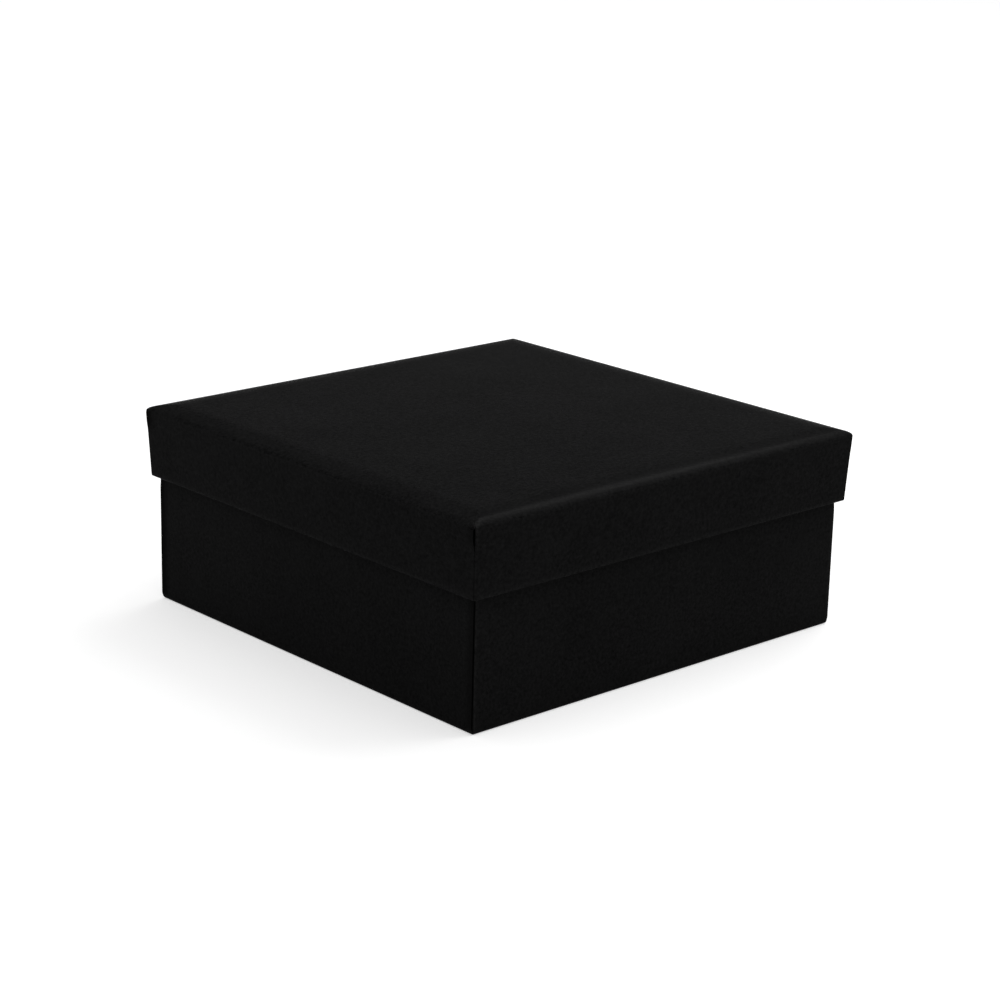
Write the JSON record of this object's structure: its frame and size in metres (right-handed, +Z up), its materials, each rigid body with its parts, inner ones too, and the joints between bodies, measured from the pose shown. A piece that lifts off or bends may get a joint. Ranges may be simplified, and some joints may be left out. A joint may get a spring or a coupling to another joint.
{
  "type": "gift box",
  "caption": "Square rigid gift box with a shallow lift-off lid, made of scored board trays with taped corners, wrapped in black paper and lined.",
  "frame": {"origin": "middle of the base's underside, on the surface that the box stands on", "axes": "+Z up, the way the lid lifts off; the front is at -Y; the wrap's seams are on the two side walls, at -X and +X, beside the corners"},
  "size_m": [0.2, 0.2, 0.0824],
  "materials": {
    "wrap_paper": "matt black, with a fine grain",
    "lining_paper": "matt black, smooth",
    "greyboard": "raw recycled board, grey with fibres",
    "stay_tape": "brown gummed paper"
  },
  "bodies": {
    "base": {"base_board": "greyboard", "base_corner_stay_front_left": "stay_tape", "base_corner_stay_front_right": "stay_tape", "base_corner_stay_back_left": "stay_tape", "base_corner_stay_back_right": "stay_tape", "base_wrap": "wrap_paper", "base_liner": "lining_paper"},
    "lid": {"lid_board": "greyboard", "lid_corner_stay_front_left": "stay_tape", "lid_corner_stay_front_right": "stay_tape", "lid_corner_stay_back_left": "stay_tape", "lid_corner_stay_back_right": "stay_tape", "lid_wrap": "wrap_paper", "lid_liner": "lining_paper"}
  },
  "joints": [
    {"name": "lid_lift", "type": "slide", "parent": "base", "child": "lid", "axis": [0, 0, 1], "range_m": [0, 0.1]}
  ]
}
